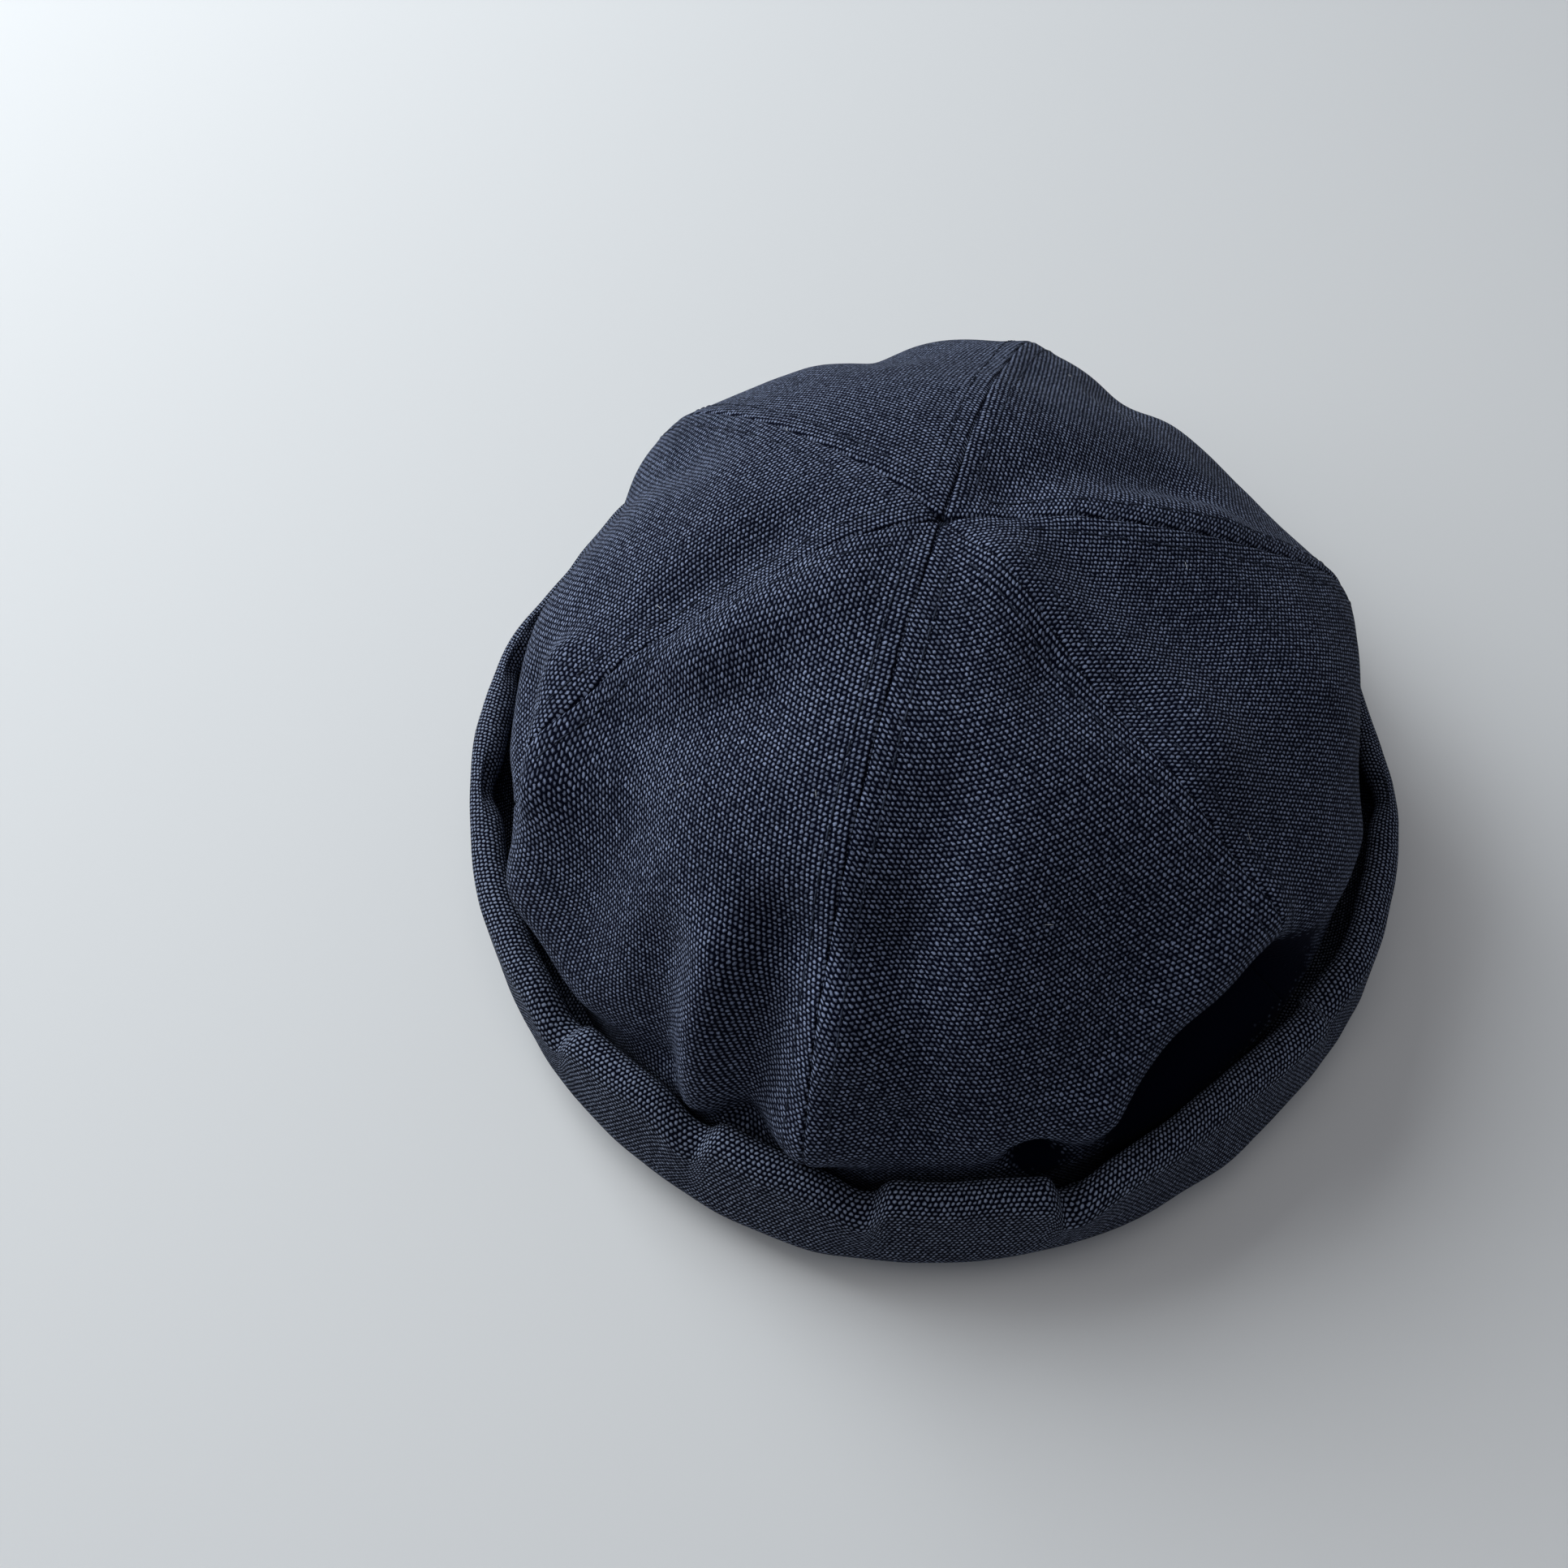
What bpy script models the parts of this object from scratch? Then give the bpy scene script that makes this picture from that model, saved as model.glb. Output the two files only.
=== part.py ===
# A brimless fisherman cap of navy canvas: six sewn crown panels over a turned-up cuff.
# Units are metres, +Z is up, the cuff stands on z = 0 and the cap's front seam faces -Y.

import math

import bmesh
import bpy
from mathutils import Vector

# The hollow that the head goes into, measured inside the band at the rim
HEAD_HALF_WIDTH = 0.0832
HEAD_HALF_LENGTH = 0.0977

# Cloth: one layer of canvas in the crown, a doubled strip in the cuff
CROWN_CLOTH = 0.0014
CUFF_CLOTH = 0.0018
SEAM_GAP = 0.0003

# The crown stands this high above the floor, and its top is drawn towards one side
CROWN_HEIGHT = 0.083
CROWN_LEAN_X = -0.0065
CROWN_LEAN_Y = -0.0040
CROWN_TIP_RADIUS = 0.0015
CROWN_MERIDIAN = 0.135

# Typical width and rise of one soft fold in the crown
FOLD_WIDTH = 0.010
FOLD_RISE = 0.003

# The cuff: turned up outside the crown and rolled over at its top edge
CUFF_HEIGHT = 0.025
CUFF_REACH = 0.012
CUFF_INSIDE_SHARE = 0.64
CUFF_ROLL_RADIUS = 0.0034
CUFF_ROLL_TURN = 215
CUFF_HEEL_RADIUS = 0.0020
CUFF_FLOOR_WIDTH = 0.0030
CUFF_BELLY_SHARE = 0.45
CRIMP_DROP = 0.004
CRIMP_PUSH = 0.002

# How finely each piece is divided
PANEL_COUNT = 6
PANEL_ACROSS = 12
PANEL_DOWN = 16
CUFF_AROUND = PANEL_COUNT * PANEL_ACROSS

PANEL_SPAN = math.tau / PANEL_COUNT
FIRST_SEAM = math.radians(270)

# The crown's outer face at its hem lies outside the band, the gap and its own cloth, and the hem
# ends where the band's heel begins to turn out under it
HEM_OUTSET = CUFF_CLOTH + SEAM_GAP + CROWN_CLOTH
HEM_HALF_WIDTH = HEAD_HALF_WIDTH + HEM_OUTSET
HEM_HALF_LENGTH = HEAD_HALF_LENGTH + HEM_OUTSET
HEM_HEIGHT = CUFF_CLOTH / 2 + CUFF_HEEL_RADIUS

# The cuff's cloth also goes up inside the crown, as high as this
BAND_TOP = CUFF_HEIGHT * CUFF_INSIDE_SHARE

# Level rings of the crown, from its top to its hem: how far down the cloth, the height and the
# reach as shares, how much of the top's lean, and how flat the panels pull between their seams
RING_COLUMNS = ("down", "height", "reach", "lean_x", "lean_y", "flatness")
RINGS = (
    (0.00, 0.990, 0.000, 1.00, 0.00, 0.00),
    (0.08, 1.000, 0.115, 1.00, 0.10, 0.05),
    (0.17, 0.985, 0.250, 1.00, 0.35, 0.20),
    (0.28, 0.943, 0.420, 0.95, 0.75, 0.50),
    (0.40, 0.862, 0.597, 0.85, 1.00, 0.80),
    (0.52, 0.740, 0.762, 0.70, 1.00, 0.85),
    (0.64, 0.577, 0.890, 0.45, 0.80, 0.65),
    (0.76, 0.391, 0.965, 0.20, 0.45, 0.35),
    (0.88, 0.196, 0.990, 0.00, 0.10, 0.10),
    (1.00, 0.000, 1.000, 0.00, 0.00, 0.00),
)

# The crown stands upright round the band up to this share of the band's height, and is free of
# the cuff at this share of the cuff's. It follows the hem's plan up to this share of its height.
UPRIGHT_SHARE = 1.20
FREE_SHARE = 1.16
PLAN_SHARE = 0.60

# The soft hem lies in an oval that is pushed in here and there. At each azimuth: the hem's
# distance from the middle as a share of the oval's, and how far out the cuff stands from it
PLAN_COLUMNS = ("azimuth", "hem", "cuff")
PLAN = (
    (0, 0.985, 0.85),
    (17, 0.950, 0.60),
    (38, 0.915, 0.54),
    (58, 0.900, 0.56),
    (75, 0.922, 0.60),
    (92, 0.958, 0.70),
    (120, 0.960, 0.74),
    (150, 0.965, 0.66),
    (172, 0.970, 0.68),
    (187, 0.990, 0.90),
    (205, 1.000, 1.00),
    (270, 1.000, 1.00),
    (320, 1.000, 1.00),
    (343, 1.000, 0.97),
)

# The panels, in order from the front seam, and how slack each one hangs between its seams
PANEL_COLUMNS = ("name", "slack")
PANELS = (
    ("crown_panel_1", 0.25),
    ("crown_panel_2", 0.15),
    ("crown_panel_3", 1.10),
    ("crown_panel_4", 0.75),
    ("crown_panel_5", 0.15),
    ("crown_panel_6", 0.20),
)

# Folds and dents of the crown: a line from one place on the cloth to another, and its width and
# rise as shares of FOLD_WIDTH and FOLD_RISE. A negative rise is a valley.
FOLD_COLUMNS = ("from_azimuth", "from_down", "to_azimuth", "to_down", "width", "rise")
FOLDS = (
    (222, 0.52, 240, 0.32, 0.9, -1.4),
    (222, 0.36, 233, 0.17, 0.7, 0.8),
    (208, 0.37, 198, 0.24, 0.8, -1.2),
    (222, 0.56, 228, 0.74, 0.8, 1.2),
    (215, 0.60, 235, 0.72, 1.8, 1.2),
    (236, 0.54, 238, 0.70, 0.9, -1.0),
    (247, 0.64, 250, 0.80, 0.7, -1.2),
    (254, 0.60, 255, 0.80, 0.7, 1.0),
    (262, 0.54, 261, 0.76, 0.7, -1.4),
    (272, 0.58, 270, 0.78, 0.7, 1.0),
    (286, 0.36, 280, 0.50, 0.8, -1.0),
    (280, 0.50, 281, 0.72, 0.8, -1.2),
    (308, 0.54, 310, 0.68, 1.2, -1.0),
    (302, 0.78, 330, 0.68, 0.9, 1.3),
    (310, 0.87, 334, 0.82, 1.0, -2.8),
    (322, 0.26, 334, 0.34, 0.9, -1.3),
    (340, 0.12, 341, 0.44, 0.7, 0.8),
    (355, 0.24, 360, 0.36, 1.2, -1.0),
    (48, 0.12, 44, 0.42, 0.9, -1.2),
    (36, 0.20, 34, 0.42, 0.7, 0.7),
    (296, 0.82, 298, 0.86, 0.7, -1.6),
    (5, 0.60, 24, 0.70, 1.7, 1.1),
    (72, 0.54, 76, 0.78, 0.9, -1.0),
    (112, 0.50, 118, 0.76, 1.0, -1.0),
    (164, 0.46, 168, 0.74, 0.9, -0.9),
    (192, 0.60, 212, 0.72, 1.8, 1.0),
    (205, 0.76, 236, 0.79, 1.0, 1.0),
    (264, 0.80, 300, 0.79, 1.0, 0.7),
    (338, 0.70, 354, 0.80, 1.1, 1.0),
    (90, 0.42, 90, 0.76, 1.6, -0.9),
)

# Crimps in the cuff's top edge: where, how wide in degrees, and how deep and how far pushed
# inwards as shares of CRIMP_DROP and CRIMP_PUSH
CRIMP_COLUMNS = ("azimuth", "width", "drop", "push")
CRIMPS = (
    (179, 4.0, 0.9, 1.0),
    (188, 3.5, 0.8, 0.8),
    (208, 3.5, 0.9, 0.5),
    (241, 3.5, 0.9, 0.4),
    (259, 3.5, 1.0, 0.5),
    (277, 3.0, 1.2, 0.6),
    (295, 4.0, 1.3, 0.3),
    (332, 5.0, 0.8, 0.9),
    (355, 4.0, 0.8, 0.6),
    (34, 6.0, 0.5, 0.3),
    (72, 6.0, 0.7, 0.3),
    (112, 7.0, 0.6, 0.4),
    (150, 6.0, 0.7, 0.3),
)

# The crown's slope at one place is taken between points this share of the cloth apart
SLOPE_STEP = 0.004

# Canvas finish
NAVY = (0.022, 0.030, 0.055, 1.0)
CANVAS_ROUGHNESS = 0.92


def smooth_step(start, end, value):
    """0 up to start, 1 from end on, and a smooth change between them. End may be the lower."""
    share = min(1.0, max(0.0, (value - start) / (end - start)))
    return share * share * (3 - 2 * share)


def smooth_curve(knots, at):
    """The height at one place of a smooth curve through (place, height) knots, in order."""
    last = len(knots) - 1
    row = 0
    while row < last - 1 and at > knots[row + 1][0]:
        row += 1

    def slope(knot):
        before, after = knots[max(knot - 1, 0)], knots[min(knot + 1, last)]
        return (after[1] - before[1]) / (after[0] - before[0])

    (start, first), (end, second) = knots[row], knots[row + 1]
    span = end - start
    u = (at - start) / span
    return (
        (2 * u**3 - 3 * u**2 + 1) * first
        + (u**3 - 2 * u**2 + u) * span * slope(row)
        + (3 * u**2 - 2 * u**3) * second
        + (u**3 - u**2) * span * slope(row + 1)
    )


def along_rings(down, column):
    """One column of RINGS at a place down the cloth."""
    index = RING_COLUMNS.index(column)
    return smooth_curve([(row[0], row[index]) for row in RINGS], down)


def around_plan(azimuth, column):
    """One column of PLAN at an azimuth. The curve closes on itself after a whole turn."""
    index = PLAN_COLUMNS.index(column)
    knots = [(row[0] + turn, row[index]) for turn in (-360, 0, 360) for row in PLAN]
    return smooth_curve(knots, math.degrees(azimuth) % 360)


def oval_radius(azimuth, half_width, half_length):
    """Distance from the middle of an oval to its edge."""
    return 1 / math.hypot(math.cos(azimuth) / half_width, math.sin(azimuth) / half_length)


def hem_radius(azimuth):
    """Distance from the middle to the crown's outer face at its hem."""
    oval = oval_radius(azimuth, HEM_HALF_WIDTH, HEM_HALF_LENGTH)
    return oval * around_plan(azimuth, "hem")


def plan_centre():
    """The middle of the box round the cuff, seen from above."""
    azimuths = [math.tau * step / CUFF_AROUND for step in range(CUFF_AROUND)]
    radii = [hem_radius(a) + CUFF_REACH * around_plan(a, "cuff") for a in azimuths]
    across = [radius * math.cos(a) for radius, a in zip(radii, azimuths)]
    along = [radius * math.sin(a) for radius, a in zip(radii, azimuths)]
    return Vector(((min(across) + max(across)) / 2, (min(along) + max(along)) / 2, 0.0))


def slackness(azimuth):
    """How slack the cloth hangs here: its panel's slack, and none at the seams."""
    turn = ((azimuth - FIRST_SEAM) % math.tau) / PANEL_SPAN
    slack = PANELS[int(turn) % PANEL_COUNT][PANEL_COLUMNS.index("slack")]
    off_middle = (turn % 1.0 - 0.5) * PANEL_SPAN
    chord = math.cos(PANEL_SPAN / 2) / math.cos(off_middle)
    return slack * (1 - chord)


def dome_height(down):
    """The height of the crown's cloth above the floor."""
    return HEM_HEIGHT + (CROWN_HEIGHT - HEM_HEIGHT) * along_rings(down, "height")


def freedom(height):
    """0 where the crown is sewn round the band, 1 where it is free of the cuff."""
    return smooth_step(BAND_TOP * UPRIGHT_SHARE, CUFF_HEIGHT * FREE_SHARE, height)


def dome_point(azimuth, down):
    """A point on the crown's outer face before its folds are pressed in."""
    height = dome_height(down)
    pull = 1 - along_rings(down, "flatness") * slackness(azimuth)
    free = freedom(height)
    reach = 1 - (1 - along_rings(down, "reach") * pull) * free
    from_plan = smooth_step(CROWN_HEIGHT * PLAN_SHARE, BAND_TOP * UPRIGHT_SHARE, height)
    pushed_in = 1 - (1 - around_plan(azimuth, "hem")) * from_plan
    radius = oval_radius(azimuth, HEM_HALF_WIDTH, HEM_HALF_LENGTH) * pushed_in * reach
    return Vector((
        radius * math.cos(azimuth) + CROWN_LEAN_X * along_rings(down, "lean_x") * free,
        radius * math.sin(azimuth) + CROWN_LEAN_Y * along_rings(down, "lean_y") * free,
        height,
    ))


def outward(azimuth, down):
    """The direction out of the cloth, even across a seam because it leaves the slack out."""
    above, below = max(down - SLOPE_STEP, SLOPE_STEP), min(down + SLOPE_STEP, 1.0)
    rise = (along_rings(below, "reach") - along_rings(above, "reach")) * HEM_HALF_WIDTH
    steepness = dome_height(above) - dome_height(below)
    level = Vector((
        math.cos(azimuth) / HEM_HALF_WIDTH**2,
        math.sin(azimuth) / HEM_HALF_LENGTH**2,
        0.0,
    )).normalized()
    return (level * steepness + Vector((0.0, 0.0, rise))).normalized()


def spread(azimuth, down):
    """The place of a point when the crown is spread flat around its top."""
    distance = down * CROWN_MERIDIAN
    return Vector((distance * math.cos(azimuth), distance * math.sin(azimuth)))


def fold_rise(azimuth, down):
    """How far the folds lift the cloth, or press it in, at one place."""
    here = spread(azimuth, down)
    total = 0.0
    for from_azimuth, from_down, to_azimuth, to_down, width, rise in FOLDS:
        start = spread(math.radians(from_azimuth), from_down)
        end = spread(math.radians(to_azimuth), to_down)
        line = end - start
        along = min(1.0, max(0.0, (here - start).dot(line) / line.length_squared))
        distance = (here - start - line * along).length
        total += rise * FOLD_RISE * math.exp(-((distance / (width * FOLD_WIDTH)) ** 2))
    return total


def crown_point(azimuth, down, depth):
    """A point of the crown's wall: depth 0 on its outer face, 1 on its inner face."""
    point = dome_point(azimuth, down)
    lift = fold_rise(azimuth, down) * freedom(point.z)
    return point + outward(azimuth, down) * (lift - depth * CROWN_CLOTH)


def tip_down():
    """How far down the cloth the panels' tips end, around the small hole at the top."""
    share = CROWN_TIP_RADIUS / HEM_HALF_WIDTH
    return share * RINGS[1][RING_COLUMNS.index("down")] / RINGS[1][RING_COLUMNS.index("reach")]


def finish_mesh(bm, name, material):
    """Turns a bmesh into a named object, with the origin under the middle of the cuff's box."""
    bmesh.ops.translate(bm, verts=bm.verts, vec=-plan_centre())
    mesh = bpy.data.meshes.new(name)
    bm.to_mesh(mesh)
    bm.free()
    mesh.shade_smooth()
    mesh.materials.append(material)
    piece = bpy.data.objects.new(name, mesh)
    bpy.data.collections["fisherman_cap"].objects.link(piece)
    return piece


def make_panel(number, material):
    """One crown panel: a slab of cloth, formed over the crown between two seams."""
    name = PANELS[number][PANEL_COLUMNS.index("name")]
    first_edge = FIRST_SEAM + number * PANEL_SPAN
    tip = tip_down()
    bm = bmesh.new()
    bmesh.ops.create_grid(bm, x_segments=PANEL_ACROSS, y_segments=PANEL_DOWN, size=0.5)
    inner = bmesh.ops.extrude_face_region(bm, geom=bm.faces[:], use_keep_orig=True)
    inner_verts = [item for item in inner["geom"] if isinstance(item, bmesh.types.BMVert)]
    bmesh.ops.translate(bm, verts=inner_verts, vec=(0, 0, -1))
    bmesh.ops.recalc_face_normals(bm, faces=bm.faces[:])
    for vert in bm.verts:
        across, down, depth = vert.co.x + 0.5, tip + (1 - tip) * (0.5 - vert.co.y), -vert.co.z
        radius = along_rings(down, "reach") * HEM_HALF_WIDTH
        inset = math.asin(SEAM_GAP / 2 / radius)
        azimuth = first_edge + inset + (PANEL_SPAN - 2 * inset) * across
        vert.co = crown_point(azimuth, down, depth)
    return finish_mesh(bm, name, material)


def arc(centre_x, centre_z, radius_x, radius_z, start, end, steps):
    """Points along an arc in the section's plane, its angles in degrees."""
    angles = [math.radians(start + (end - start) * i / steps) for i in range(steps + 1)]
    return [
        (centre_x + radius_x * math.cos(a), centre_z + radius_z * math.sin(a)) for a in angles
    ]


def cuff_path():
    """The middle line of the cuff's cloth: distance out from the crown's hem, and height."""
    half = CUFF_CLOTH / 2
    inside = -(CROWN_CLOTH + SEAM_GAP + half)
    outside = CUFF_REACH - half
    heel_end = inside + CUFF_HEEL_RADIUS + CUFF_FLOOR_WIDTH
    belly = CUFF_HEIGHT * CUFF_BELLY_SHARE
    roll_centre = outside - CUFF_ROLL_RADIUS
    roll_height = CUFF_HEIGHT - half - CUFF_ROLL_RADIUS
    points = [(inside, BAND_TOP)]
    points += arc(
        inside + CUFF_HEEL_RADIUS, half + CUFF_HEEL_RADIUS,
        CUFF_HEEL_RADIUS, CUFF_HEEL_RADIUS, 180, 270, 2,
    )
    points += arc(heel_end, belly, outside - heel_end, belly - half, 270, 360, 4)
    points += arc(
        roll_centre, roll_height, CUFF_ROLL_RADIUS, CUFF_ROLL_RADIUS, 0, CUFF_ROLL_TURN, 5,
    )
    return [Vector(point) for point in points]


def thicken(path, thickness):
    """The closed outline of a strip of cloth that follows a path."""
    left, right = [], []
    for i, point in enumerate(path):
        before, after = path[max(i - 1, 0)], path[min(i + 1, len(path) - 1)]
        along = (after - before).normalized()
        aside = Vector((-along.y, along.x)) * (thickness / 2)
        left.append(point + aside)
        right.append(point - aside)
    for point in left + right:
        if point.y < thickness / 4:
            point.y = 0.0
    return left + right[::-1]


def crimp(azimuth):
    """(drop, push) of the cuff's top edge at one azimuth, in metres."""
    drop = push = 0.0
    for at, width, drop_share, push_share in CRIMPS:
        off = (math.degrees(azimuth) - at + 180) % 360 - 180
        share = math.exp(-((off / width) ** 2))
        drop += drop_share * CRIMP_DROP * share
        push += push_share * CRIMP_PUSH * share
    return drop, push


def cuff_point(azimuth, out, height):
    """A point of the cuff: the section's point, crimped and set out from the hem."""
    drop, push = crimp(azimuth)
    share = smooth_step(0.0, CUFF_REACH / 3, out) * smooth_step(CUFF_HEIGHT / 3, CUFF_HEIGHT, height)
    out -= push * share
    height -= drop * share
    if out > 0:
        out *= around_plan(azimuth, "cuff")
    radius = hem_radius(azimuth) + out
    return Vector((radius * math.cos(azimuth), radius * math.sin(azimuth), height))


def make_cuff(material):
    """The cuff: its section spun into a ring, then drawn out to the head's oval and crimped."""
    bm = bmesh.new()
    outline = thicken(cuff_path(), CUFF_CLOTH)
    verts = [bm.verts.new((HEM_HALF_WIDTH + p.x, 0.0, p.y)) for p in outline]
    edges = [bm.edges.new((verts[i], verts[i - 1])) for i in range(len(verts))]
    bmesh.ops.spin(
        bm, geom=verts + edges, cent=(0, 0, 0), axis=(0, 0, 1), dvec=(0, 0, 0),
        angle=math.tau, steps=CUFF_AROUND, use_merge=True,
    )
    bmesh.ops.recalc_face_normals(bm, faces=bm.faces[:])
    for vert in bm.verts:
        azimuth = math.atan2(vert.co.y, vert.co.x)
        out = math.hypot(vert.co.x, vert.co.y) - HEM_HALF_WIDTH
        vert.co = cuff_point(azimuth, out, vert.co.z)
    return finish_mesh(bm, "cuff", material)


def make_canvas():
    """Navy canvas, the cloth of the whole cap."""
    material = bpy.data.materials.new("navy_canvas")
    material.use_nodes = True
    shader = material.node_tree.nodes["Principled BSDF"]
    shader.inputs["Base Color"].default_value = NAVY
    shader.inputs["Roughness"].default_value = CANVAS_ROUGHNESS
    shader.inputs["Metallic"].default_value = 0.0
    return material


def main():
    for leftover in list(bpy.data.objects):
        bpy.data.objects.remove(leftover, do_unlink=True)
    cap = bpy.data.collections.new("fisherman_cap")
    bpy.context.scene.collection.children.link(cap)
    canvas = make_canvas()
    for number in range(PANEL_COUNT):
        make_panel(number, canvas)
    make_cuff(canvas)


main()
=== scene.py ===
# %% [markdown]
# This notebook dresses a soft, brimless cap of navy canvas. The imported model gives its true
# size: six crown panels and one turned-up cuff. Each is replaced here by a finer piece of cloth
# that lies in the same place, and the frame stays underneath as the measure of them all.

# %% Load the frame
import math

import bmesh
import bpy
import numpy as np
from mathutils import Matrix, Vector, noise


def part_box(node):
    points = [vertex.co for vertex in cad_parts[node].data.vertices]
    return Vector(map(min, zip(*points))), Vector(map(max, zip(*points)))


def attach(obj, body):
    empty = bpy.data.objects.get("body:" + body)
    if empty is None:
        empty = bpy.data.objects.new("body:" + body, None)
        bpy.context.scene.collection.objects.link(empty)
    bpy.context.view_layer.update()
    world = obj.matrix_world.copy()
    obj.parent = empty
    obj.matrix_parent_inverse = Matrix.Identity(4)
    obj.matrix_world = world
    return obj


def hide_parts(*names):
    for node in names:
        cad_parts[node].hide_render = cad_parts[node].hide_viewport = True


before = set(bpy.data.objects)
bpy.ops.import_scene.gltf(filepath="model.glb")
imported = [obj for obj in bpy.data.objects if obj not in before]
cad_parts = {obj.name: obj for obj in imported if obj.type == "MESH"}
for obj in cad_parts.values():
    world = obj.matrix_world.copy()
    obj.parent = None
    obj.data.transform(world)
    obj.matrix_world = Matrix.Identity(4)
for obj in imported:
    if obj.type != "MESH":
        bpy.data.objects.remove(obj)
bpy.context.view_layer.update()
MM = 0.001
print("nodes:", sorted(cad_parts))

# %% [markdown]
# The cap is cut to fit a head. The band goes round inside the hem, so the hem's oval is the
# head's oval plus the cloth that lies between. The cuff's height is read from the frame, so
# that the fine cuff stands exactly as high as the plain one.

# %% Sizes
HEAD_HALF_WIDTH = 83.2 * MM
HEAD_HALF_LENGTH = 97.7 * MM
CROWN_CLOTH = 1.4 * MM
CUFF_CLOTH = 1.8 * MM
SEAM_GAP = 0.3 * MM
HEM_OUTSET = CUFF_CLOTH + SEAM_GAP + CROWN_CLOTH
HEM_HALF_WIDTH = HEAD_HALF_WIDTH + HEM_OUTSET
HEM_HALF_LENGTH = HEAD_HALF_LENGTH + HEM_OUTSET
HEEL_RADIUS = 2.0 * MM
HEM_HEIGHT = CUFF_CLOTH / 2 + HEEL_RADIUS
CUFF_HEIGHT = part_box("cuff")[1].z
CUFF_REACH = 12 * MM
BAND_TOP = 0.64 * CUFF_HEIGHT
CROWN_HEIGHT = 83 * MM
CROWN_LEAN = (-6.5 * MM, -4.0 * MM)
CROWN_MERIDIAN = 135 * MM
PANEL_COUNT = 6
PANEL_SPAN = math.tau / PANEL_COUNT
FIRST_SEAM = math.radians(270)
print("cuff height in mm:", round(CUFF_HEIGHT / MM, 2))

# %% [markdown]
# Shapes like a dome or a cuff are easiest to change when they are written as a short table of
# knots, with a smooth curve drawn through them. NumPy works on all the vertices of a piece in
# one go, which is much faster in Python than a loop over a hundred thousand of them.

# %% Smooth curves
def smooth_step(start, end, value):
    """0 up to start, 1 from end on, with a smooth change between. End may be the lower."""
    share = np.clip((value - start) / (end - start), 0.0, 1.0)
    return share * share * (3 - 2 * share)


def smooth_curve(places, heights, at):
    """Heights of a smooth curve through knots, at an array of places."""
    places, heights = np.asarray(places, float), np.asarray(heights, float)
    last = len(places) - 1
    row = np.clip(np.searchsorted(places, at, side="left") - 1, 0, last - 1)
    before, after = np.maximum(np.arange(last + 1) - 1, 0), np.minimum(np.arange(last + 1) + 1, last)
    slopes = (heights[after] - heights[before]) / (places[after] - places[before])
    span = places[row + 1] - places[row]
    u = (at - places[row]) / span
    return (
        (2 * u**3 - 3 * u**2 + 1) * heights[row]
        + (u**3 - 2 * u**2 + u) * span * slopes[row]
        + (3 * u**2 - 2 * u**3) * heights[row + 1]
        + (u**3 - u**2) * span * slopes[row + 1]
    )


print("half way up a smooth step:", smooth_step(0.0, 1.0, np.array([0.5])))

# %% [markdown]
# The crown is a stack of level rings, from its top to its hem. A real cap of this cloth is soft
# on top and upright at the band, so the rings first spread fast and then go straight down. The
# whole top is drawn to one side, as it falls when the cap is put down.

# %% The crown's rings
RING_DOWN = (0.00, 0.08, 0.17, 0.28, 0.40, 0.52, 0.64, 0.76, 0.88, 1.00)
RING_HEIGHT = (0.990, 1.000, 0.985, 0.943, 0.862, 0.740, 0.577, 0.391, 0.196, 0.000)
RING_REACH = (0.000, 0.115, 0.250, 0.420, 0.597, 0.762, 0.890, 0.965, 0.990, 1.000)
RING_LEAN_X = (1.00, 1.00, 1.00, 0.95, 0.85, 0.70, 0.45, 0.20, 0.00, 0.00)
RING_LEAN_Y = (0.00, 0.10, 0.35, 0.75, 1.00, 1.00, 0.80, 0.45, 0.10, 0.00)
RING_FLATNESS = (0.00, 0.05, 0.20, 0.50, 0.80, 0.85, 0.65, 0.35, 0.10, 0.00)
UPRIGHT_SHARE = 1.10
FREE_SHARE = 1.04
PLAN_SHARE = 0.60


def along_rings(down, column):
    """One column of the rings, at places down the cloth."""
    return smooth_curve(RING_DOWN, column, down)


def dome_height(down):
    """The height of the crown's cloth above the floor."""
    return HEM_HEIGHT + (CROWN_HEIGHT - HEM_HEIGHT) * along_rings(down, RING_HEIGHT)


def freedom(height):
    """0 where the crown is sewn round the band, 1 where it is free of the cuff."""
    return smooth_step(BAND_TOP * UPRIGHT_SHARE, CUFF_HEIGHT * FREE_SHARE, height)


print("height half way down in mm:", np.round(dome_height(np.array([0.5])) / MM, 1))

# %% [markdown]
# Seen from above, the soft hem isn't a true oval: it is pushed in at the back and the side. The
# plan table says how far in the hem lies at each azimuth, and how far out the cuff stands there.
# A second table says how far the cuff leans in against the crown, which it does at the front.

# %% The plan of the hem and the cuff
PLAN_AZIMUTH = (0, 17, 38, 58, 75, 92, 120, 150, 172, 187, 205, 270, 320, 343)
PLAN_HEM = (
    0.985, 0.950, 0.915, 0.900, 0.922, 0.958, 0.960, 0.965, 0.970, 0.990, 1.000, 1.000, 1.000, 1.000,
)
PLAN_CUFF = (0.85, 0.60, 0.54, 0.56, 0.60, 0.70, 0.74, 0.66, 0.68, 0.90, 1.00, 1.00, 1.00, 0.97)
LEAN_AZIMUTH = (0, 60, 120, 170, 200, 228, 240, 252, 268, 283, 300, 316, 330, 348)
LEAN_CUFF = (0.35, 0.30, 0.35, 0.30, 0.00, 0.05, 0.45, 1.00, 1.00, 0.90, 0.62, 1.00, 0.55, 0.40)


def around_plan(azimuth, column, knots=PLAN_AZIMUTH):
    """One column of the plan, on a curve that closes after a whole turn."""
    places = [turn + place for turn in (-360, 0, 360) for place in knots]
    return smooth_curve(places, column * 3, np.degrees(azimuth) % 360)


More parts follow.
